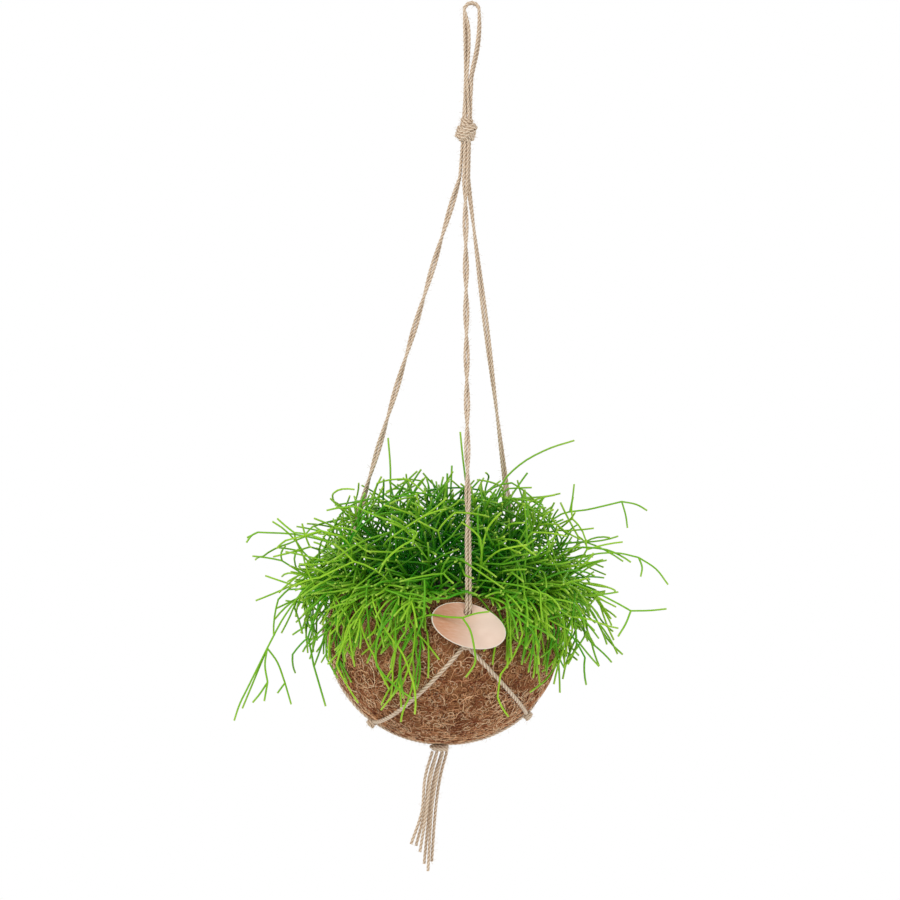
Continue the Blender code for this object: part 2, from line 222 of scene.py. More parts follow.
FLOOR_HEIGHT = -1.15
FLOOR_RADIUS = 30
SHADED_TO = 0.5  # from the middle of the floor
WHITE_FROM = 1.4
shape = bmesh.new()
bmesh.ops.create_circle(shape, cap_ends=True, segments=96, radius=FLOOR_RADIUS)
floor_mesh = bpy.data.meshes.new("floor")
shape.to_mesh(floor_mesh)
shape.free()
floor_mesh.transform(Matrix.Translation((0, 0, FLOOR_HEIGHT)))
floor_look = Finish("floor_white", 0.9)
floor_look.set("Base Color", (0.9, 0.9, 0.9, 1))
spot = floor_look.length(floor_look.place((1, 1, 0)))
far = Amount(floor_look, spot).within(SHADED_TO, WHITE_FROM)
path = floor_look.node("LightPath")
seen = Amount(floor_look, path.outputs["Is Camera Ray"])
plain = floor_look.node("Emission", {"Color": (1, 1, 1, 1), "Strength": 1.0})
shades = {0: far * seen, 1: floor_look.surface.outputs[0], 2: plain.outputs[0]}
blended = floor_look.node("MixShader", shades)
floor_look.feed(floor_look.tree.nodes["Material Output"].inputs["Surface"], blended.outputs[0])
added("floor", floor_mesh, floor_look)

AMBIENT = 0.6
world = bpy.data.worlds.new("studio")
bpy.context.scene.world = world
world.use_nodes = True
sky = Nodes(world.node_tree)
backdrop = sky.tree.nodes["Background"]
sky.feed(backdrop.inputs["Color"], (1, 1, 1, 1))
rays = sky.node("LightPath").outputs
both = {0: rays["Is Camera Ray"], 1: rays["Is Glossy Ray"]}
either = sky.node("Math", both, operation="MAXIMUM")
level = sky.node("MapRange", {"Value": either.outputs[0], "To Min": AMBIENT})
sky.feed(backdrop.inputs["Strength"], level.outputs[0])

# ---- Coir ball
# A bowl of coconut fibre felted over a former and glued with latex: a turned, lumpy wall, matted all
# over with single curled fibres. Painted shade darkens the pits of its weave, more towards the foot.
BALL_RADIUS = 100 * MM
BALL_DEPTH = 94 * MM
BALL_CENTRE = Vector((0, 0, -545 * MM))
UP = Vector((0, 0, 1))
RIM_RISE = 35 * MM
COIR_WALL = 8 * MM
FELT_INSET = 0.6 * MM  # room for the fibres on the felt
RIM_BULGE = 2 * MM


def around(radius, angle, height):
    return Vector((radius * math.cos(angle), radius * math.sin(angle), height))


def turned_mesh(name, profile, steps):
    """A profile of (radius, height) pairs turned about Z, closed where it meets the axis."""
    shape = bmesh.new()
    rings = []
    for radius, height in profile:
        if radius < 0.001 * MM:
            rings.append([shape.verts.new((0, 0, height))])
            continue
        ring = []
        for step in range(steps):
            angle = 2 * math.pi * step / steps
            ring.append(shape.verts.new(around(radius, angle, height)))
        rings.append(ring)
    for upper, lower in zip(rings, rings[1:]):
        for i in range(steps):
            j = (i + 1) % steps
            corners = [upper[i % len(upper)], lower[i % len(lower)]]
            corners += [lower[j % len(lower)], upper[j % len(upper)]]
            shape.faces.new(dict.fromkeys(corners))
    bmesh.ops.recalc_face_normals(shape, faces=shape.faces)
    mesh = bpy.data.meshes.new(name)
    shape.to_mesh(mesh)
    shape.free()
    mesh.shade_smooth()
    return mesh


def wall_profile(radius, depth, count):
    start = math.asin(RIM_RISE / BALL_RADIUS)
    found = []
    for step in range(count):
        angle = start + (-math.pi / 2 - start) * step / (count - 1)
        half = depth if angle < 0 else radius
        found.append((radius * max(0.0, math.cos(angle)), BALL_CENTRE.z + half * math.sin(angle)))
    return found[:-1] + [(0.0, found[-1][1])]


WALL_STEPS = 110
LINING_STEPS = 40
RIM_STEPS = 8
outer = wall_profile(BALL_RADIUS - FELT_INSET, BALL_DEPTH - FELT_INSET, WALL_STEPS)
inner = wall_profile(BALL_RADIUS - COIR_WALL, BALL_DEPTH - COIR_WALL, LINING_STEPS)
rim_arc = []
for step in range(1, RIM_STEPS):
    angle = math.pi * step / RIM_STEPS
    middle = (outer[0][0] + inner[0][0]) / 2
    rim_arc.append((middle - COIR_WALL / 2 * math.cos(angle), outer[0][1] + RIM_BULGE * math.sin(angle)))
coir_mesh = turned_mesh("coir_ball_felt", [*reversed(inner), *rim_arc, *outer], 240)
LUMPS = (90, 3, 0.7 * MM)  # how many to the metre, octaves and height
PITS = (420, 2, 0.35 * MM)


def rough(place, kind):
    scale, octaves, size = kind
    return noise.fractal(place * scale, 1.0, 2.0, octaves) * size


for vertex in coir_mesh.vertices:
    lump = rough(vertex.co, LUMPS)
    pit = rough(vertex.co, PITS)
    vertex.co += (vertex.co - BALL_CENTRE).normalized() * (lump + pit)

CURL_SIZE = 11 * MM
# heights over which the painted shade in the felt's pits deepens towards the foot
PIT_DEEPENING_FROM = -555 * MM
PIT_DEEPENING_FULL = -595 * MM
felt = Finish("coir_felt", 0.95, 0.1)
swirl = felt.node("TexNoise", {"Vector": felt.place(), "Scale": 170.0, "Detail": 2.0}).outputs["Color"]
curled = felt.vectors("ADD", felt.place(), felt.scaled(swirl, CURL_SIZE))


def meshes(scale):
    """How far a place lies from the threads of a curly net: 0 on a thread, 1 in a pit."""
    sockets = {"Vector": curled, "Scale": scale}
    made = felt.node("TexVoronoi", sockets, feature="DISTANCE_TO_EDGE")
    return Amount(felt, made.outputs["Distance"]).within(0.02, 0.30)


fine = felt.noise(900, 4, roughness=0.7)
patches = felt.noise(34, 3)
wide_pit = meshes(230.0)
small_pit = meshes(410.0)
height = felt.node("SeparateXYZ", {0: felt.place()}).outputs["Z"]
# Painted shade: how dark the pits are painted, rising towards the foot and in random patches; the bump
# deepens with it.
pit_deepening = Amount(felt, height).within(PIT_DEEPENING_FROM, PIT_DEEPENING_FULL) * 0.45 + patches.within(0.40, 0.66) * 0.55
thread_stops = [(0.3, (0.27, 0.10, 0.035)), (0.5, (0.43, 0.20, 0.08)), (0.7, (0.60, 0.34, 0.17))]
thread = felt.ramp(fine, thread_stops)
# Painted shade: the pits between the threads are painted near-black brown in place of the shadow in
# them, and the same mask sinks them in the bump.
pit_shade_and_depth = (wide_pit * 0.55 + small_pit * 0.75) * (0.58 + pit_deepening * 0.7)
matted = felt.mix(pit_shade_and_depth, thread, (0.07, 0.013, 0.004, 1))
felt.set("Base Color", felt.mix(patches.within(0.55, 0.25) * 0.30, matted, (0.32, 0.16, 0.07, 1)))
felt.bump(fine * 0.4 - pit_shade_and_depth * 0.6, 0.9, 0.0012)

fibre_look = Finish("coir_fibre", 0.75, 0.2)
shade = fibre_look.attribute("shade")
strand_noise = fibre_look.noise(140, 2)
fibre_stops = [
    (0.12, (0.17, 0.035, 0.012)),
    (0.36, (0.50, 0.19, 0.075)),
    (0.58, (0.86, 0.47, 0.24)),
    (0.84, (1.0, 0.74, 0.47)),
]
fibre_look.set("Base Color", fibre_look.ramp(shade * 0.8 + strand_noise * 0.2, fibre_stops))
fibre_look.bump(fibre_look.noise(2500, 1), 0.3, 0.0001)


class Tree(Nodes):
    """A Geometry Nodes tree in the making, with named inputs."""

    def __init__(self, name):
        super().__init__(bpy.data.node_groups.new(name, "GeometryNodeTree"), "GeometryNode")
        self.inputs = {}
        self.entry = self.node("NodeGroupInput")
        self.socket("Geometry", "INPUT", "Geometry")
        self.socket("Geometry", "OUTPUT", "Geometry")

    def socket(self, name, way, kind):
        settings = {"in_out": way, "socket_type": "NodeSocket" + kind}
        return self.tree.interface.new_socket(name, **settings)

    def input(self, name):
        kind = "Int" if name == "Seed" else "Float"
        self.inputs[name] = self.socket(name, "INPUT", kind).identifier
        return self.entry.outputs[name]

    def maths(self, operation, first, second=0.0):
        return self.node("ShaderNodeMath", {0: first, 1: second}, operation=operation).outputs[0]

    def random(self, low, high, seed):
        sockets = {2: low, 3: high, "Seed": seed}
        return self.node("FunctionNodeRandomValue", sockets, data_type="FLOAT").outputs[1]

    def scattered(self, thing, density, seed, size, turn_seed):
        """Copies of a thing all over the carrier's faces, turned at random about each normal."""
        ground = {"Mesh": self.entry.outputs["Geometry"], "Density": density, "Seed": seed}
        spread = self.node("DistributePointsOnFaces", ground)
        sockets = {"Points": spread.outputs["Points"], "Rotation": spread.outputs["Rotation"]}
        laid = self.node("InstanceOnPoints", {**sockets, "Instance": thing, "Scale": size})
        spin = self.node("ShaderNodeCombineXYZ", {"Z": self.random(0.0, 2 * math.pi, turn_seed)})
        sockets = {"Instances": laid.outputs[0], "Rotation": spin.outputs[0]}
        return self.node("RotateInstances", sockets).outputs[0]

    def stored(self, geometry, name, value, domain):
        sockets = {"Geometry": geometry, "Name": name, "Value": value}
        settings = {"data_type": "FLOAT", "domain": domain}
        return self.node("StoreNamedAttribute", sockets, **settings).outputs[0]

    def real(self, geometry):
        return self.node("RealizeInstances", {"Geometry": geometry}).outputs[0]

    def ring(self, radius, sides):
        sockets = {"Resolution": sides, "Radius": radius}
        return self.node("CurvePrimitiveCircle", sockets, mode="RADIUS").outputs[0]

    def swept(self, route, profile):
        sockets = {"Curve": route, "Profile Curve": profile, "Fill Caps": True}
        return self.node("CurveToMesh", sockets).outputs[0]

    def smooth(self, geometry):
        return self.node("SetShadeSmooth", {"Geometry": geometry}).outputs[0]

    def end(self, geometry, material):
        """Every tree ends in real geometry with its own material."""
        sockets = {"Geometry": self.real(geometry), "Material": material}
        coated = self.node("SetMaterial", sockets)
        self.node("NodeGroupOutput", {0: coated.outputs[0]})

    def applied(self, name, carrier, values):
        """Runs the tree on a piece and returns the result as a plain mesh."""
        modifier = carrier.modifiers.new("nodes", "NODES")
        modifier.node_group = self.tree
        for key, value in values.items():
            modifier[self.inputs[key]] = value
        evaluated = carrier.evaluated_get(bpy.context.evaluated_depsgraph_get())
        mesh = bpy.data.meshes.new_from_object(evaluated)
        mesh.name = name
        carrier.modifiers.remove(modifier)
        return mesh


FIBRE_SINK = 0.4 * MM  # how deep the lowest fibres lie in the felt
COAT_INPUTS = ("Density", "Seed", "Length", "Curl", "Thickness", "Lift", "Wave")


def fibre_tree():
    """Curled fibres scattered over a ball, laid on its surface and waved by a noise."""
    tree = Tree("coir_fibres")
    density, seed, length, curl, thickness, lift, wave = map(tree.input, COAT_INPUTS)
    radius = tree.maths("DIVIDE", length, curl)
    bend = {"Resolution": 7, "Radius": radius, "Sweep Angle": curl}
    arc = tree.node("CurveArc", bend, mode="RADIUS")
    move = tree.node("ShaderNodeCombineXYZ", {"X": tree.maths("MULTIPLY", radius, -1.0)})
    centring = {"Geometry": arc.outputs["Curve"], "Offset": move.outputs[0]}
    centred = tree.node("SetPosition", centring)
    size = tree.random(0.45, 1.5, 5)
    turned = tree.scattered(centred.outputs[0], density, seed, size, 9)
    tinted = tree.stored(turned, "shade", tree.random(0.0, 1.0, 3), "INSTANCE")
    raised = tree.stored(tinted, "raise", tree.random(0.0, 1.0, 14), "INSTANCE")
    here = tree.node("InputPosition").outputs[0]
    ripple = tree.node("ShaderNodeTexNoise", {"Vector": here, "Scale": 95.0, "Detail": 2.0})
    swing = tree.vectors("SUBTRACT", ripple.outputs["Color"], (0.5, 0.5, 0.5))
    waved = tree.vectors("ADD", here, tree.scaled(swing, wave))
    # Brought to the ball's surface along the line to its centre, as if its foot were round too.
    arm = tree.vectors("SUBTRACT", waved, tuple(BALL_CENTRE))
    parts = tree.node("ShaderNodeSeparateXYZ", {0: arm})
    below = tree.maths("LESS_THAN", parts.outputs["Z"], 0.0)
    grow = tree.maths("MULTIPLY", below, BALL_RADIUS / BALL_DEPTH - 1)
    tall = tree.maths("MULTIPLY", parts.outputs["Z"], tree.maths("ADD", grow, 1.0))
    rounded = {"X": parts.outputs["X"], "Y": parts.outputs["Y"], "Z": tall}
    sphere = tree.node("ShaderNodeCombineXYZ", rounded).outputs[0]
    reach = tree.length(sphere)
    own = tree.node("InputNamedAttribute", {"Name": "raise"}, data_type="FLOAT").outputs[0]
    out = tree.maths("ADD", tree.maths("MULTIPLY", own, lift), BALL_RADIUS - FIBRE_SINK)
    pushed = tree.scaled(arm, tree.maths("DIVIDE", out, reach))
    placed = tree.vectors("ADD", pushed, tuple(BALL_CENTRE))
    lies = tree.node("SetPosition", {"Geometry": tree.real(raised), "Position": placed})
    tube = tree.swept(lies.outputs[0], tree.ring(thickness, 3))
    tree.end(tree.smooth(tube), fibre_look.material)
    return tree


fibres = fibre_tree()
coir_ball = added("coir_ball_felt", coir_mesh, felt)
shell_mesh = turned_mesh("coir_surface", wall_profile(BALL_RADIUS, BALL_DEPTH, 48), 96)
shell = added("coir_surface", shell_mesh)
COATS = {
    "coir_fibres_fine": (52000.0, 4, 12 * MM, 2.4, 0.21 * MM, 0.9 * MM, 8 * MM),
    "coir_fibres_curly": (34000.0, 33, 14 * MM, 5.6, 0.27 * MM, 1.3 * MM, 7 * MM),
    "coir_fibres_loose": (9000.0, 21, 27 * MM, 2.6, 0.26 * MM, 2.0 * MM, 11 * MM),
}
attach(coir_ball, root)
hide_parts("coir_ball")
for name, values in COATS.items():
    coat = added(name, fibres.applied(name, shell, dict(zip(COAT_INPUTS, values))))
    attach(coat, root)
bpy.data.objects.remove(shell, do_unlink=True)

# ---- Potting mix
# Dark crumbly mix, mounded in the ball and mostly hidden by the plant.
MIX_TOP = -500 * MM
MIX_FALL = 16 * MM
MIX_EDGE = 86.6 * MM
MIX_STEPS = 40
CRUMBS = (160, 3, 1.6 * MM)


def mix_height(radius):
    return MIX_TOP - MIX_FALL * (radius / MIX_EDGE) ** 2


reaches = [MIX_EDGE * step / MIX_STEPS for step in range(MIX_STEPS + 1)]
mound = [(reach, mix_height(reach)) for reach in reaches]
under = [(MIX_EDGE * 0.9, MIX_TOP - 32 * MM), (0.0, MIX_TOP - 36 * MM)]
mix_mesh = turned_mesh("potting_mix_mound", [*mound, *under], 140)
for vertex in mix_mesh.vertices:
    if vertex.co.z > MIX_TOP - MIX_FALL - 1 * MM:
        vertex.co.z += rough(vertex.co, CRUMBS)
soil = Finish("potting_mix", 0.95)
crumb = soil.noise(420, 4, roughness=0.65)
soil_stops = [(0.35, (0.012, 0.007, 0.004)), (0.6, (0.06, 0.035, 0.02)), (0.75, (0.14, 0.09, 0.05))]
soil.set("Base Color", soil.ramp(crumb, soil_stops))
soil.bump(crumb, 0.9, 0.0012)
mix = added("potting_mix_mound", mix_mesh, soil)
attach(mix, root)
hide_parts("potting_mix")

# ---- Jute twine
# Three-ply natural jute: a trefoil section carried along each cord's route and twisted, with
# stray fibres standing off it. The cords run on through their knots without a break.
TWINE = 2.7 * MM
PAIR_HALF = 1.45 * MM
LEGS = {"front": 10.0, "back": 137.4, "left": -95.0}
LEG_TURNS = {"front": 4, "back": 1, "left": 3}  # full turns of each pair about itself
STEPS_PER_TURN = 24
TWIST_PART = 0.86  # share of the taut run over which a pair twists
TAG_REACH = 105.5 * MM  # from the hanger's axis to the tag's hole
TAG_HOLE_HEIGHT = -519.7 * MM
KNOT_RADIUS = 4.2 * MM
RIM_KNOT_HEIGHT = -547 * MM
LOW_KNOTS = {"left": (-78.0, -621 * MM), "right": (80.0, -609 * MM), "rear": (190.0, -615 * MM)}
NET = {"front": ("left", "right"), "back": ("right", "rear"), "left": ("rear", "left")}
GAP = 0.3 * MM
PLY_TURN = 11.5 * MM  # length of one full turn of the plies
TWINE_STEP = 0.9 * MM
HAIR_BEND = 4 * MM
HAIR_RADIUS = 0.07 * MM
HAIRS_PER_AREA = 60000.0

jute = Finish("jute_twine", 0.85, 0.2)
# Painted shade: the grooves between the plies (crown 0) are darker and the crowns of the plies lighter;
# streak and blotch are the jute's own tone.
groove_shade = jute.attribute("crown")
streak = jute.noise(1500, 3, roughness=0.6)
blotch = jute.noise(60, 2)
jute_stops = [
    (0.26, (0.22, 0.125, 0.065)),
    (0.46, (0.52, 0.37, 0.245)),
    (0.66, (0.76, 0.61, 0.455)),
    (0.88, (0.92, 0.81, 0.67)),
]
jute.set("Base Color", jute.ramp(groove_shade * 0.40 + streak * 0.48 + blotch * 0.20, jute_stops))
jute.set("Sheen Weight", 0.15)
jute.bump(streak, 0.5, 0.0003)

hair_look = Finish("jute_hair", 0.7)
hair_stops = [(0.35, (0.60, 0.46, 0.33)), (0.65, (0.88, 0.77, 0.62))]
hair_look.set("Base Color", hair_look.ramp(hair_look.noise(300, 1), hair_stops))


def twine_tree():
    """A three-lobed section swept along a route, twisting as it goes, its lobes marked for painted shade
    in the grooves.
    """
    tree = Tree("twine")
    radius = tree.input("Radius")
    pitch = tree.input("Pitch")
    evenly = {"Curve": tree.entry.outputs["Geometry"], "Length": TWINE_STEP}
    even = tree.node("ResampleCurve", evenly, mode="LENGTH")
    along = tree.node("SplineParameter").outputs["Length"]
    turn = tree.maths("MULTIPLY", tree.maths("DIVIDE", along, pitch), 2 * math.pi)
    twisted = tree.node("SetCurveTilt", {"Curve": even.outputs[0], "Tilt": turn})
    where = tree.node("InputPosition").outputs[0]
    split = tree.node("ShaderNodeSeparateXYZ", {0: where})
    angle = tree.maths("ARCTAN2", split.outputs["Y"], split.outputs["X"])
    lobe = tree.maths("ABSOLUTE", tree.maths("COSINE", tree.maths("MULTIPLY", angle, 1.5)))
    # the crown mark carries painted shade: 1 on a lobe's crown, 0 in the groove between lobes
    marked = tree.stored(tree.ring(radius, 12), "crown", lobe, "POINT")
    scale = tree.maths("ADD", tree.maths("MULTIPLY", lobe, 0.34), 0.71)
    sockets = {"Geometry": marked, "Position": tree.scaled(where, scale)}
    lobed = tree.node("SetPosition", sockets).outputs[0]
    tree.end(tree.smooth(tree.swept(twisted.outputs[0], lobed)), jute.material)
    return tree


def hair_tree():
    """Short bowed hairs standing off a twine."""
    tree = Tree("twine_hairs")
    density = tree.input("Density")
    seed = tree.input("Seed")
    bend = {"Resolution": 5, "Radius": HAIR_BEND, "Sweep Angle": 1.1}
    hair = tree.node("CurveArc", bend, mode="RADIUS").outputs["Curve"]
    stance = {"Geometry": hair, "Translation": (-HAIR_BEND, 0, 0), "Rotation": (1.2, 0, 0)}
    rooted = tree.node("Transform", stance).outputs[0]
    turned = tree.scattered(rooted, density, seed, tree.random(0.25, 1.1, 2), 8)
    tree.end(tree.swept(tree.real(turned), tree.ring(HAIR_RADIUS, 3)), hair_look.material)
    return tree


twine_maker = twine_tree()
hair_maker = hair_tree()


def outward(azimuth):
    angle = math.radians(azimuth)
    return Vector((math.sin(angle), -math.cos(angle), 0))


def sideways(azimuth):
    angle = math.radians(azimuth)
    return Vector((math.cos(angle), math.sin(angle), 0))


def on_ball(direction, lift):
    """The point that lies lift outside the ball's surface, seen from its centre."""
    half = BALL_DEPTH if direction.z < 0 else BALL_RADIUS
    squash = Vector((1 / BALL_RADIUS, 1 / BALL_RADIUS, 1 / half))
    scaled = Vector(a * b for a, b in zip(direction, squash))
    touch = direction / scaled.length
    normal = Vector(a * b * b for a, b in zip(touch, squash)).normalized()
    return BALL_CENTRE + touch + normal * lift


def ball_radius_at(rise):
    half = BALL_DEPTH if rise < 0 else BALL_RADIUS
    return BALL_RADIUS * math.sqrt(max(0.0, 1 - (rise / half) ** 2))


def smooth_curve(points, count):
    """A Catmull-Rom curve through the points, sampled evenly along each stretch."""
    ends = [points[0] * 2 - points[1], *points, points[-1] * 2 - points[-2]]
    found = []
    for step in range(count):
        place = step / (count - 1) * (len(points) - 1)
        i = min(int(place), len(points) - 2)
        t = place - i
        a, b, c, d = ends[i : i + 4]
        bend = (2 * a - 5 * b + 4 * c - d) * t**2 + (3 * b - a - 3 * c + d) * t**3
        found.append(0.5 * (2 * b + (c - a) * t + bend))
    return found


def poly_curve(routes):
    """A loose curve object that only carries routes into a tree."""
    curve = bpy.data.curves.new("routes", "CURVE")
    curve.dimensions = "3D"
    for route in routes:
        spline = curve.splines.new("POLY")
        spline.points.add(len(route) - 1)
        for point, place in zip(spline.points, route):
            point.co = (*place, 1)
    return added("routes", curve)


wool = []


def twine(name, routes, nodes, thickness=TWINE, pitch=PLY_TURN):
    """One piece of twine along its routes, standing for its CAD nodes."""
    carrier = poly_curve(routes)
    mesh = twine_maker.applied(name, carrier, {"Radius": thickness / 2, "Pitch": pitch})
    bpy.data.objects.remove(carrier, do_unlink=True)
    made = added(name, mesh)
    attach(made, root)
    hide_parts(*nodes)
    wool.append(made)
    return made


HOOK_RADIUS = 5 * MM
CROWN_TOP = -98.5 * MM
CROWN_FOOT = -120.5 * MM
BUNDLE_RADIUS = 4.0 * MM
BUNDLE_FOOT = -150 * MM
LOOP_TOP_ROWS = (-3.2, 0.0, 3.2)
LOOP_HEIGHTS = (-20.0, -39.0)
LOOP_DEPTHS = (3.1, 2.95)
LOOP_LEFT = ((-2.0, -0.9), (-5.6, -4.3), (-3.6, -2.6))
LOOP_RIGHT = ((6.6, 5.2), (7.8, 6.9), (7.0, 5.8))
BUNDLE_SPACING = 3.0
BUNDLE_HEIGHTS = (-62.0, -71.0, -80.0, -89.0, -98.1, -107.0)
BUNDLE_TWIST = math.radians(60)
OVER_STEPS = 8
LOOP_STEPS = 150


def loop_side(number, hand):
    """One side of a loop cord from below the hook down into the knot, joining the bundle."""
    row = number - 1
    across = (LOOP_LEFT if hand < 0 else LOOP_RIGHT)[number]
    places = [Vector((x, row * y, z)) for x, y, z in zip(across, LOOP_DEPTHS, LOOP_HEIGHTS)]
    start = math.atan2(row, hand) if row == 0 else row * math.radians(90 - 30 * hand)
    for step, height in enumerate(BUNDLE_HEIGHTS):
        angle = start + BUNDLE_TWIST * step / (len(BUNDLE_HEIGHTS) - 2)
        places.append(around(BUNDLE_SPACING, angle, height))
    return [place * MM for place in places]


arc = HOOK_RADIUS + TWINE / 2
for number, row in enumerate(LOOP_TOP_ROWS):
    over = []
    for step in range(OVER_STEPS + 1):
        angle = math.pi * step / OVER_STEPS
        over.append(Vector((arc * math.cos(angle), row * MM, arc * math.sin(angle) - HOOK_RADIUS)))
    rising = list(reversed(loop_side(number, 1)))
    route = smooth_curve([*rising, *over, *loop_side(number, -1)], LOOP_STEPS)
    twine(f"loop_twine_{number + 1}", [route], [f"loop_cord_{number + 1}"])


LEG_START_STEPS = 6
LEG_END_STEPS = 60
TOUCH_RISE = 25 * MM  # where a leg meets the ball, above its middle
TUCK_RISE = 12 * MM  # where a leg turns in to its rim knot, above the knot
IN_KNOT = {"front": 3.5 * MM, "back": 2.4 * MM, "left": 2.4 * MM}  # outside the ball's radius


def leg_route(leg):
    """(outward, height) pairs from the crown knot down to the rim knot."""
    touch = ball_radius_at(TOUCH_RISE) + TWINE / 2 + GAP
    start = [(BUNDLE_RADIUS * 0.7, CROWN_FOOT + 6 * MM), (BUNDLE_RADIUS, BUNDLE_FOOT)]
    knot = (BALL_RADIUS + IN_KNOT[leg], RIM_KNOT_HEIGHT)
    if leg != "front":
        beside = ball_radius_at(RIM_KNOT_HEIGHT + TUCK_RISE - BALL_CENTRE.z) + TWINE / 2 + GAP
        low = [(touch, BALL_CENTRE.z + TOUCH_RISE), (beside, RIM_KNOT_HEIGHT + TUCK_RISE)]
        return [*start, *low, knot]
    through = [(1.3, 10), (2.1, 6.5), (2.0, 3.4), (0, 0), (-2.0, -3.4), (-2.9, -7), (-2.6, -13)]
    bent = [(TAG_REACH + out * MM, TAG_HOLE_HEIGHT + up * MM) for out, up in through]
    return [*start, *bent, knot]


def twisted_run(top, bottom, azimuth, turns, side):
    """One cord of a pair winding about the other between two points of the pair's middle line."""
    count = turns * STEPS_PER_TURN
    run = []
    for step in range(count):
        done = step / count
        angle = 2 * math.pi * turns * min(1.0, done / TWIST_PART)
        aside = sideways(azimuth) * math.cos(angle) + outward(azimuth) * math.sin(angle)
        run.append(top.lerp(bottom, done) + aside * PAIR_HALF * side)
    return run


for leg, azimuth in LEGS.items():
    for number, hand in enumerate((-1, 1), 1):
        aside = sideways(azimuth) * PAIR_HALF * hand
        pairs = [outward(azimuth) * n + aside + UP * z for n, z in leg_route(leg)]
        run = twisted_run(pairs[1] - aside, pairs[2] - aside, azimuth, LEG_TURNS[leg], hand)
        upper = smooth_curve(pairs[:2], LEG_START_STEPS)[:-1]
        route = [*upper, *run, *smooth_curve(pairs[2:], LEG_END_STEPS)]
        twine(f"leg_{leg}_twine_{number}", [route], [f"leg_{leg}_{number}"])


def knot_centre(azimuth, height):
    rise = height - BALL_CENTRE.z
    return on_ball(outward(azimuth) * ball_radius_at(rise) + UP * rise, KNOT_RADIUS + GAP)


NET_STEPS = 40
NET_TWINE = 3.5 * MM  # the net's two cords lie as one
NET_PLY_TURN = 14 * MM


def net_route(start, end, aside):
    first, last = start - BALL_CENTRE, end - BALL_CENTRE
    across = first.cross(last).normalized() * aside
    aims = [first.lerp(last, step / NET_STEPS) for step in range(NET_STEPS + 1)]
    return [on_ball(aim, TWINE / 2) + across for aim in aims]


KNOT_WRAPS = 3
WRAP_STEPS = 20
WRAP_RADIUS = 2.9 * MM


def tied_knot(name, centre, out, node):
    """Turns of twine pulled tight over one another, about the line the cords come in on."""
    lean = out.orthogonal().normalized()
    beside = out.cross(lean)
    route = []
    for step in range(KNOT_WRAPS * WRAP_STEPS + 1):
        angle = 2 * math.pi * step / WRAP_STEPS
        tilt = 0.9 * math.sin(angle * 2 / 3)
        ring = lean * math.cos(angle) + beside * math.sin(angle)
        place = ring * WRAP_RADIUS + out * (1.3 * MM * tilt + 0.5 * MM * math.cos(angle * 1.7))
        route.append(centre + place)
    twine(name, [route], [node])


lows = {name: knot_centre(*place) for name, place in LOW_KNOTS.items()}
for leg, ends in NET.items():
    top = knot_centre(LEGS[leg], RIM_KNOT_HEIGHT)
    out = (top - BALL_CENTRE).normalized()
    tied_knot(f"rim_knot_{leg}_tied", top, out, f"rim_knot_{leg}")
    for end in ends:
        route = net_route(top, lows[end], 0)
        nodes = [f"net_cord_{leg}_{end}"]
        twine(f"net_twine_{leg}_{end}", [route], nodes, NET_TWINE, NET_PLY_TURN)
foot = BALL_CENTRE - UP * BALL_DEPTH
CORD_END = 5 * MM  # the cords end inside the base knot here
for low, centre in lows.items():
    out = (centre - BALL_CENTRE).normalized()
    tied_knot(f"low_knot_{low}_tied", centre, out, f"low_knot_{low}")
    for number, hand in enumerate((-1, 1), 1):
        route = net_route(centre, foot, hand * PAIR_HALF)
        kept = [p for p in route if math.hypot(p.x, p.y) > CORD_END]
        twine(f"base_twine_{low}_{number}", [kept], [f"base_cord_{low}_{number}"])


TURN_STEPS = 24
TUCK_STEPS = 9  # over which each end draws in under its turns
KNOT_TWINE = 2.9 * MM


def wound(radius, turns, middle, tilt=0.0, swell=0.0, spacing=2.5 * MM):
    """Turns of twine side by side about the cords, tilted to one side and bulging at one place."""
    lean = Matrix.Rotation(math.radians(tilt), 3, "Y")
    route = []
    last = turns * TURN_STEPS
    for step in range(last + 1):
        angle = 2 * math.pi * step / TURN_STEPS
        tucked = 0.62 + 0.38 * min(1.0, step / TUCK_STEPS, (last - step) / TUCK_STEPS)
        reach = (radius + swell * math.cos(angle - 2.4)) * tucked
        rise = spacing * (turns / 2 - step / TURN_STEPS)
        route.append(lean @ around(reach, angle, rise) + UP * middle)
    return route


# The crown knot: a neat collar of turns over a fat knot of wraps that cross each other.
knot_turns = [
    wound(4.3 * MM, 4, CROWN_TOP - 4.6 * MM, spacing=2.3 * MM),
    wound(4.8 * MM, 5, -111.0 * MM, spacing=3.0 * MM),
    wound(7.4 * MM, 4, -112.2 * MM, tilt=14, swell=1.0 * MM),
    wound(8.7 * MM, 3, -110.6 * MM, tilt=-36, swell=-0.7 * MM),
]
twine("crown_knot_tied", knot_turns, ["crown_knot"], KNOT_TWINE)

# The base knot: the six cords gathered and wound under the ball.
BASE_TOP = -641.3 * MM
BASE_TURNS = 3
CORE_TOP = -641.2 * MM
CORE_RADIUS = 3 * MM
CORE_END = 12  # radians of winding
base = []
for step in range(BASE_TURNS * TURN_STEPS + 1):
    angle = 2 * math.pi * step / TURN_STEPS
    reach = 6.6 * MM - 0.9 * MM * math.sin(angle / 2)
    base.append(around(reach, angle, BASE_TOP - step / TURN_STEPS * 1.5 * MM))
core_angles = np.arange(0, CORE_END, 0.35)
core = [around(CORE_RADIUS, angle, CORE_TOP - 0.42 * MM * angle) for angle in core_angles]
twine("base_knot_tied", [base, core], ["base_knot"])

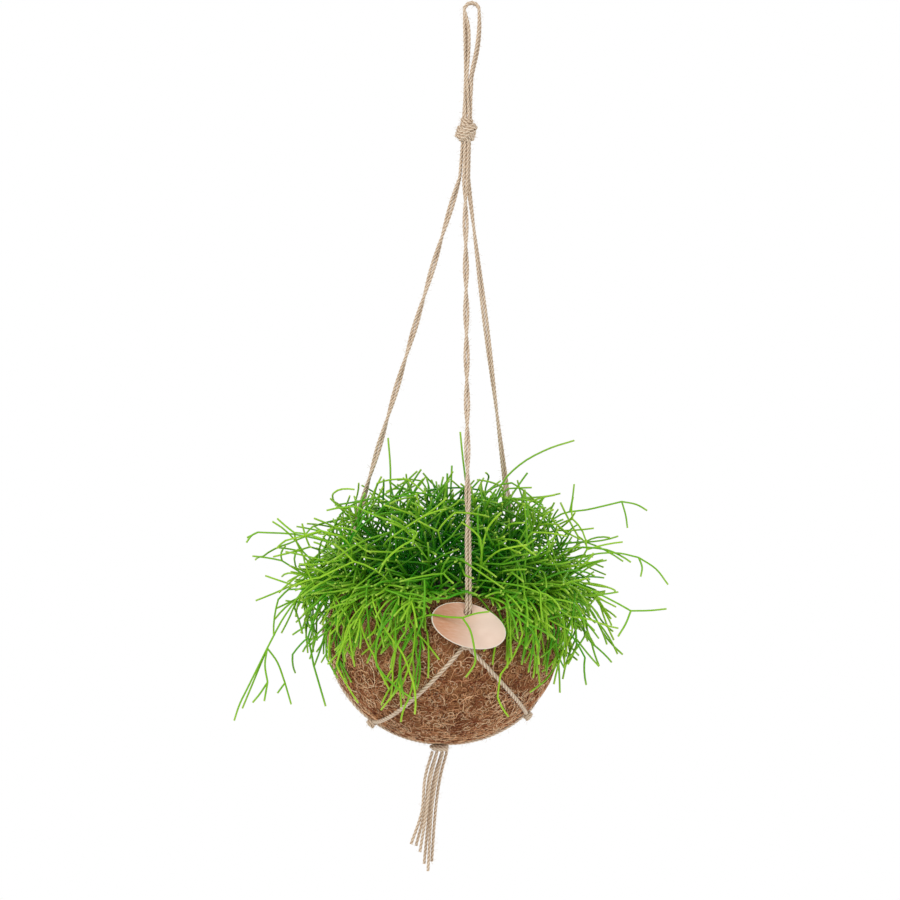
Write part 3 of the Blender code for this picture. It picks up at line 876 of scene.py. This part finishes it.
# The tassel: six strands cut to uneven lengths, hanging free from the base knot.
TASSEL_STEPS = 26
TASSEL_HEIGHTS = (-647.2, -671, -700)
TASSEL = (
    ((-6.0, -2.5), (-11.5, -3.5), (-13.0, -3.5), (-21.0, -5.0, -728)),
    ((-2.0, 2.5), (-8.0, 2.2), (-10.5, 1.5), (-16.7, 1.0, -730)),
    ((-2.0, -3.0), (-6.6, -4.5), (-9.0, -6.0), (-13.0, -8.0, -734)),
    ((2.5, 3.5), (-3.5, 4.5), (-6.5, 5.5), (-9.0, 6.0, -746)),
    ((3.0, -2.5), (-1.5, -2.5), (-4.5, -1.5), (-5.4, -2.0, -751)),
    ((6.5, 1.0), (1.5, 1.5), (-1.2, 1.5), (-2.5, 1.2, -743)),
)
for number, strand in enumerate(TASSEL, 1):
    hung = [Vector((*place, z)) * MM for place, z in zip(strand, TASSEL_HEIGHTS)]
    hung.append(Vector(strand[-1]) * MM)
    route = smooth_curve(hung, TASSEL_STEPS)
    made = twine(f"tassel_twine_{number}", [route], [f"tassel_{number}"])
    length = sum((b - a).length for a, b in zip(route, route[1:]))

for number, made in enumerate(wool):
    name = made.name.replace("_twine", "_hairs") if "_twine" in made.name else made.name + "_hairs"
    hairs = added(name, hair_maker.applied(name, made, {"Density": HAIRS_PER_AREA, "Seed": number}))
    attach(hairs, root)

# ---- Tag
# A thin oval of pale wood, punched once and threaded on the front pair of cords. Its face is bare.
TAG_HALF_LENGTH = 32.0 * MM
TAG_HALF_WIDTH = 18.2 * MM
TAG_THICKNESS = 1.6 * MM
TAG_HOLE_RADIUS = 3.55 * MM
TAG_HOLE = Vector((-3.7 * MM, 10.9 * MM))
TAG_TILT = math.radians(14.7)
TAG_LEAN = math.radians(14)
TAG_EDGE = 0.3 * MM


def outline(curve, middle, half_length, half_width, count):
    spline = curve.splines.new("POLY")
    spline.points.add(count - 1)
    for step, point in enumerate(spline.points):
        angle = 2 * math.pi * step / count
        x = middle.x + half_length * math.cos(angle)
        y = middle.y + half_width * math.sin(angle)
        point.co = (x, y, 0, 1)
    spline.use_cyclic_u = True


tag_curve = bpy.data.curves.new("tag_outline", "CURVE")
tag_curve.dimensions = "2D"
tag_curve.fill_mode = "BOTH"
tag_curve.extrude = TAG_THICKNESS / 2 - TAG_EDGE
tag_curve.bevel_depth = TAG_EDGE
tag_curve.bevel_resolution = 2
outline(tag_curve, Vector((0, 0)), TAG_HALF_LENGTH - TAG_EDGE, TAG_HALF_WIDTH - TAG_EDGE, 96)
outline(tag_curve, TAG_HOLE, TAG_HOLE_RADIUS + TAG_EDGE, TAG_HOLE_RADIUS + TAG_EDGE, 32)
holder = added("tag_outline", tag_curve)
tag_mesh = bpy.data.meshes.new_from_object(holder.evaluated_get(bpy.context.evaluated_depsgraph_get()))
bpy.data.objects.remove(holder, do_unlink=True)
shape = bmesh.new()
shape.from_mesh(tag_mesh)
bmesh.ops.remove_doubles(shape, verts=shape.verts, dist=0.001 * MM)
bmesh.ops.recalc_face_normals(shape, faces=shape.faces)
shape.to_mesh(tag_mesh)
shape.free()
flat_place = tag_mesh.attributes.new("flat_place", "FLOAT_VECTOR", "POINT")
for vertex, value in zip(tag_mesh.vertices, flat_place.data):
    value.vector = vertex.co
out = outward(LEGS["front"])
across_ball = sideways(LEGS["front"])
rise = UP * math.cos(TAG_LEAN) - out * math.sin(TAG_LEAN)
face = out * math.cos(TAG_LEAN) + UP * math.sin(TAG_LEAN)
along = across_ball * math.cos(TAG_TILT) - rise * math.sin(TAG_TILT)
across = across_ball * math.sin(TAG_TILT) + rise * math.cos(TAG_TILT)
hole = out * TAG_REACH + UP * TAG_HOLE_HEIGHT
place = Matrix((along, across, face)).transposed().to_4x4()
place.translation = hole - along * TAG_HOLE.x - across * TAG_HOLE.y
tag_mesh.transform(place)

wood = Finish("tag_wood", 0.55)
flat = wood.node("Attribute", attribute_name="flat_place").outputs["Vector"]
stretched = wood.node("Mapping", {"Vector": flat, "Scale": (0.12, 1, 1)}).outputs[0]
grain = wood.noise(1300, 3, vector=stretched)
cloud = wood.noise(45, 2, vector=flat)
axes = wood.node("SeparateXYZ", {0: flat})
DARK_TO = -24 * MM
PALE_FROM = 16 * MM
left_right = Amount(wood, axes.outputs["X"]).within(DARK_TO, PALE_FROM)
light = wood.mix(left_right, (0.54, 0.235, 0.11, 1), (0.83, 0.63, 0.51, 1))
grained = wood.mix(grain.within(0.35, 0.7) * 0.22, light, (0.86, 0.68, 0.57, 1))
clouded = wood.mix(cloud.within(0.45, 0.7) * 0.2, grained, (0.54, 0.29, 0.19, 1))
halves = (1 / TAG_HALF_LENGTH, 1 / TAG_HALF_WIDTH, 0)
reach = Amount(wood, wood.length(wood.vectors("MULTIPLY", flat, halves)))
edged = wood.mix(reach.within(0.965, 0.985), clouded, (0.84, 0.74, 0.63, 1))
wood.set("Base Color", edged)
wood.bump(grain, 0.25, 0.0002)
tag = added("tag_oval", tag_mesh, wood)
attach(tag, root)
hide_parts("tag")

# ---- Plant
# A mistletoe cactus: round green stems, a couple of millimetres thick, that fork in twos and
# threes every few centimetres, arch up out of the ball and trail over its rim.
STEM = 1.66 * MM
HABITS = {
    "upright": (16, 44, 178, 44),
    "arching": (26, 104, 190, 100),
    "soaring": (20, 108, 205, 74),
    "reaching": (34, 112, 150, 118),
    "spreading": (40, 152, 140, 128),
    "weeping": (45, 137, 122, 242),
    "trailing": (52, 62, 290, 385),
    "falling": (48, 84, 230, 330),
}
RING = {
    ("front", "back"): "arching falling trailing arching spreading spreading falling soaring".split(),
    ("back", "left"): "arching trailing upright falling arching weeping trailing spreading".split(),
    ("left", "front"): "weeping upright falling trailing reaching upright".split(),
}
green = Finish("stem_green", 0.5, 0.18)
tip = green.attribute("tip")
own_shade = green.attribute("shade")
# Painted shade: stems near the crown's middle get the deep green, partly the real colour of older stems
# and partly shade painted in by depth; stems at its outside get the lighter young greens.
here = green.vectors("ADD", green.place(), (0, 0, 0.49))
depth = Amount(green, green.length(green.vectors("MULTIPLY", here, (1, 1, 1.25))))
painted_outer_light = depth.within(0.062, 0.128)
young = green.mix(own_shade, (0.012, 0.29, 0.002, 1), (0.36, 0.64, 0.03, 1))
mature_and_inner_shade = green.mix(painted_outer_light, (0.003, 0.185, 0.001, 1), young)
mottled = green.mix(green.noise(90, 2).within(0.4, 0.7) * 0.3, mature_and_inner_shade, (0.15, 0.46, 0.010, 1))
green.set("Base Color", green.mix(tip**1.4 * 0.7, mottled, (0.46, 0.66, 0.09, 1)))
green.bump(green.noise(700, 2), 0.15, 0.0003)


def stem_tree():
    """Round stems along their routes, as thick as each route's own radius says."""
    tree = Tree("stems")
    radius = tree.input("Radius")
    tube = tree.swept(tree.entry.outputs["Geometry"], tree.ring(radius, 6))
    tree.end(tree.smooth(tube), green.material)
    return tree


stem_maker = stem_tree()


MIX_ROOM = 1.5 * MM
RIM_ROOM = 4 * MM
BALL_ROOM = 2.2 * MM
TAG_ROOM = 2 * MM
TAG_BEHIND = -10 * MM
TAG_BEFORE = 30 * MM


def clear_of_ball(place):
    """Pushes a place that would lie in the coir or the mix out of it."""
    arm = place - BALL_CENTRE
    if arm.z > RIM_RISE:
        radius = math.hypot(place.x, place.y)
        if radius < MIX_EDGE:
            place.z = max(place.z, mix_height(radius) + MIX_ROOM)
            return place
        if radius > BALL_RADIUS or arm.z > RIM_RISE + RIM_ROOM:
            return place
        place.z = BALL_CENTRE.z + RIM_RISE + RIM_ROOM
        return place
    touch = on_ball(arm, BALL_ROOM)
    if (touch - BALL_CENTRE).length > arm.length:
        return touch
    return place


def near_tag(place):
    """Whether a place lies on the tag, or close before or behind it."""
    shift = place - (hole - along * TAG_HOLE.x - across * TAG_HOLE.y)
    lengthwise = shift.dot(along) / (TAG_HALF_LENGTH + TAG_ROOM)
    crosswise = shift.dot(across) / (TAG_HALF_WIDTH + TAG_ROOM)
    return math.hypot(lengthwise, crosswise) < 1 and TAG_BEHIND < shift.dot(face) < TAG_BEFORE


CROWN_MIDDLE = -500 * MM
CROWN_HEIGHT = 97 * MM
CROWN_WIDTH = 140 * MM
CROWN_DEPTH = 118 * MM
CROWN_SQUARENESS = 2.6  # 2 is an ellipse, more is squarer
SHORT_FRINGE = 58 * MM
LONG_FRINGE = 112 * MM
STRETCH_STEPS = 4
STRETCH_LENGTHS = (18, 40)  # millimetres
OPENINGS = (14, 46)  # degrees between a branch and the stretch it forks from
BOW = 0.11
FORKS = ((1, 2, 3), (0.22, 0.56, 0.22))  # how many branches, and how often


def in_crown(place, room, fringe):
    """Whether a place lies in a shoot's share of the crown, a low dome that spills over the rim."""
    rise = place.z - CROWN_MIDDLE
    if rise < 0:
        room = max(room, 1.0)
    aside = math.hypot(place.x / CROWN_WIDTH, place.y / CROWN_DEPTH) / room
    if rise > 0:
        return aside**CROWN_SQUARENESS + (rise / CROWN_HEIGHT) ** CROWN_SQUARENESS < 1
    return -rise < fringe and aside < 1 + 0.12 * rise / fringe


def fork_headings(heading, count, chance):
    """Directions that fan out evenly about a heading."""
    beside = heading.orthogonal().normalized()
    spin = chance.uniform(0, 2 * math.pi)
    found = []
    for fork in range(count):
        swing = spin + 2 * math.pi * fork / count + chance.gauss(0, 0.35)
        opening = math.radians(chance.uniform(*OPENINGS))
        side = Matrix.Rotation(swing, 3, heading) @ beside
        found.append(heading * math.cos(opening) + side * math.sin(opening))
    return found


def grow(place, heading, order, habit, chance, strands):
    """One stretch of stem and the stretches that fork from its end; False if it found no room."""
    last_order, droop, room, fringe, shade = habit
    length = chance.uniform(*STRETCH_LENGTHS) * MM * (1.2 if order == 0 else 1.0)
    route = [place.copy()]
    bow = Vector((chance.gauss(0, 1), chance.gauss(0, 1), chance.gauss(0, 0.6))) * BOW
    for _ in range(STRETCH_STEPS):
        heading = (heading + bow + UP * (-droop * (0.88 - 0.16 * order))).normalized()
        place = clear_of_ball(place + heading * length / STRETCH_STEPS)
        if near_tag(place):
            return False
        route.append(place.copy())
    if not in_crown(place, room, fringe):
        return False
    kept = False
    if order < last_order:
        count = chance.choices(*FORKS)[0]
        for branch in fork_headings(heading, count, chance):
            last = last_order if chance.random() < 0.8 else order + 1
            lighter = shade + 0.09 + chance.uniform(-0.1, 0.1)
            inherited = (last, droop, room, fringe, lighter)
            kept |= grow(place.copy(), branch, order + 1, inherited, chance, strands)
    strands.append((route, order, not kept, shade))
    return True


def thrown(azimuth, base, reach, lift, fall, t):
    start, height = base
    rise = UP * (height + lift * t - fall * t * t)
    return outward(azimuth) * (start + reach * t) + rise


ARC_STEPS = 12


def leading_stem(azimuth, habit, chance, strands):
    """The start of a main shoot, along the CAD's arc, and the stretches that fork from it."""
    base, reach, lift, fall = (size * MM for size in HABITS[habit])
    reach *= chance.uniform(0.94, 1.04)
    lift *= chance.uniform(0.95, 1.03)
    soil = mix_height(base) + 0.5 * MM
    root_place = (base, soil + 3 * MM)
    share = chance.uniform(0.5, 0.66)
    main = [outward(azimuth) * base + UP * (soil - 3 * MM)]
    parts = [share * step / ARC_STEPS for step in range(ARC_STEPS + 1)]
    main += [thrown(azimuth, root_place, reach, lift, fall, part) for part in parts]
    strands.append((main, 0, False, 0.5))
    heading = (main[-1] - main[-2]).normalized()
    for branch in fork_headings(heading, 3, chance):
        grow(main[-1].copy(), branch, 2, (4, 0.1, 1.2, LONG_FRINGE, 0.6), chance, strands)


def strand_mesh(name, strands):
    """Turns strands into one mesh, thinner towards their ends, with tip and shade marked."""
    routes, tips, shades, radii = [], [], [], []
    for route, order, last, shade in strands:
        if last:
            route = [*route[:-1], route[-2].lerp(route[-1], 0.72), route[-1]]
        routes.append(route)
        thick = max(0.74, 1.06 - 0.08 * order)
        for step in range(len(route)):
            t = step / (len(route) - 1)
            at_end = last and step == len(route) - 1
            radii.append(thick * (1 - 0.10 * t) * (0.3 if at_end else 1.0))
            tips.append(max(0.0, 2 * t - 1) if last else 0.0)
            shades.append(min(max(shade, 0.0), 1.0))
    carrier = poly_curve(routes)
    points = [point for spline in carrier.data.splines for point in spline.points]
    for point, radius in zip(points, radii):
        point.radius = radius
    mesh = stem_maker.applied(name, carrier, {"Radius": STEM / 2})
    bpy.data.objects.remove(carrier, do_unlink=True)
    ring = len(mesh.vertices) // len(tips)
    for key, values in (("tip", tips), ("shade", shades)):
        mark = mesh.attributes.new(key, "FLOAT", "POINT")
        mark.data.foreach_set("value", np.repeat(np.array(values, np.float32), ring))
    return mesh


# The long sprigs that stand out of the crown, in millimetres, each with its side shoots: three
# from its top, two at the left, three at the right, one across the tag and two low at the
# right; the last two are short ones, one at each shoulder.
SPRIGS = (
    ((26, 20, -470), (42, 28, -419), (59, 34, -397), (83, 40, -382), (107, 46, -373)),
    ((18, 20, -470), (15, 18, -429), (9, 16, -391), (6, 15, -370)),
    ((-44, -14, -475), (-51, -12, -432), (-53, -12, -402), (-56, -12, -378)),
    ((-66, -30, -492), (-88, -38, -474), (-126, -46, -464), (-162, -50, -463)),
    ((-162, -50, -463), (-167, -52, -466), (-171, -54, -472)),
    ((-162, -50, -463), (-171, -49, -468)),
    ((-94, -50, -488), (-119, -56, -509), (-136, -59, -533), (-149, -61, -560)),
    ((-149, -61, -560), (-163, -64, -592), (-170, -64, -608), (-174, -64, -622)),
    ((-149, -61, -560), (-157, -60, -582), (-168, -58, -612)),
    ((-149, -61, -560), (-150, -66, -574), (-147, -68, -588)),
    ((-147, -68, -588), (-153, -66, -598), (-159, -65, -606)),
    ((-147, -68, -588), (-149, -70, -604)),
    ((-149, -61, -560), (-140, -58, -572), (-133, -57, -589)),
    ((-133, -57, -589), (-139, -56, -598)),
    ((-133, -57, -589), (-127, -56, -607)),
    ((76, 22, -460), (96, 30, -439), (122, 36, -433), (151, 42, -425)),
    ((151, 42, -425), (164, 45, -427), (174, 46, -432)),
    ((151, 42, -425), (155, 42, -437), (157, 42, -448)),
    ((92, -18, -482), (121, -24, -471), (144, -28, -468), (163, -30, -471)),
    ((163, -30, -471), (178, -31, -480), (189, -32, -493)),
    ((163, -30, -471), (166, -34, -479), (165, -36, -487)),
    ((94, -50, -490), (121, -58, -499), (142, -62, -508), (156, -64, -515)),
    ((156, -64, -515), (172, -64, -514), (186, -64, -512)),
    ((156, -64, -515), (152, -66, -526), (146, -66, -537)),
    ((-58, -84, -560), (-46, -99, -541), (-17, -110, -524), (2, -113, -524), (14, -114, -524)),
    ((14, -114, -524), (25, -114, -520), (36, -113, -518)),
    ((14, -114, -524), (21, -117, -534), (25, -118, -549), (26, -115, -561), (19, -112, -573)),
    ((92, -48, -548), (97, -50, -560), (99, -48, -575), (100, -47, -588)),
    ((96, -46, -565), (87, -57, -577), (74, -66, -587)),
    ((104, 10, -436), (106, 10, -424), (107, 10, -411)),
    ((-84, -20, -450), (-93, -24, -441), (-103, -26, -432)),
)


lead_chance = random.Random(11)
leaders = []
for (first, second), habits in RING.items():
    width = (LEGS[second] - LEGS[first]) % 360
    for number, habit in enumerate(habits, 1):
        azimuth = LEGS[first] + width * number / (len(habits) + 1)
        strands = []
        leading_stem(azimuth, habit, lead_chance, strands)
        leaders.append((azimuth, strands))
for sprig in SPRIGS:
    points = [Vector(place) * MM for place in sprig]
    seen_from = math.degrees(math.atan2(points[0].x, -points[0].y))
    nearest = min(leaders, key=lambda leader: abs((leader[0] - seen_from + 180) % 360 - 180))
    route = smooth_curve(points, 3 * len(points))
    carries_on = any(other[0] == sprig[-1] for other in SPRIGS)
    nearest[1].append((route, 2, not carries_on, 0.6))

CROWN_SHOOTS = 18
RIM_SHOOTS = 11
FRONT_SHOOTS = 34
FRONT_DROP = 15 * MM
BED_RADIUS = 82 * MM
chance = random.Random(5)
for number, (azimuth, strands) in enumerate(leaders, 1):
    more = round(FRONT_SHOOTS * max(0.0, math.cos(math.radians(azimuth))) ** 2)
    for shoot in range(CROWN_SHOOTS + RIM_SHOOTS + more):
        angle = azimuth + chance.uniform(-10, 10)
        room = chance.uniform(0.74, 1.0) if chance.random() < 0.84 else chance.uniform(1.0, 1.25)
        fringe = SHORT_FRINGE + (LONG_FRINGE - SHORT_FRINGE) * chance.random() ** 2
        facing = max(0.0, math.cos(math.radians(angle)))
        fringe += FRONT_DROP * facing**2
        shade = chance.uniform(0.0, 0.8)
        if shoot < CROWN_SHOOTS:
            start = BED_RADIUS * math.sqrt(chance.random())
            lean = start / BED_RADIUS
            rise = math.radians(chance.uniform(58, 88) - 40 * lean)
            droop = chance.uniform(0.03, 0.15) * (0.5 + lean)
            turn = chance.uniform(-45, 45)
        else:
            start = BED_RADIUS * chance.uniform(0.86, 1.0)
            rise = math.radians(chance.uniform(15, 50))
            droop = chance.uniform(0.06, 0.18) + 0.26 * facing * chance.uniform(0.3, 1)
            turn = chance.uniform(-35, 35)
        heading = outward(angle + turn) * math.cos(rise) + UP * math.sin(rise)
        place = outward(angle) * start + UP * mix_height(start)
        orders = chance.choices((2, 3, 4), (0.2, 0.45, 0.35))[0]
        grow(place, heading, 0, (orders, droop, room, fringe, shade), chance, strands)
    name = f"stem_{number:02d}_spray"
    spray = added(name, strand_mesh(name, strands))
    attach(spray, root)
    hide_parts(f"stem_{number:02d}")

low, high = cad_box
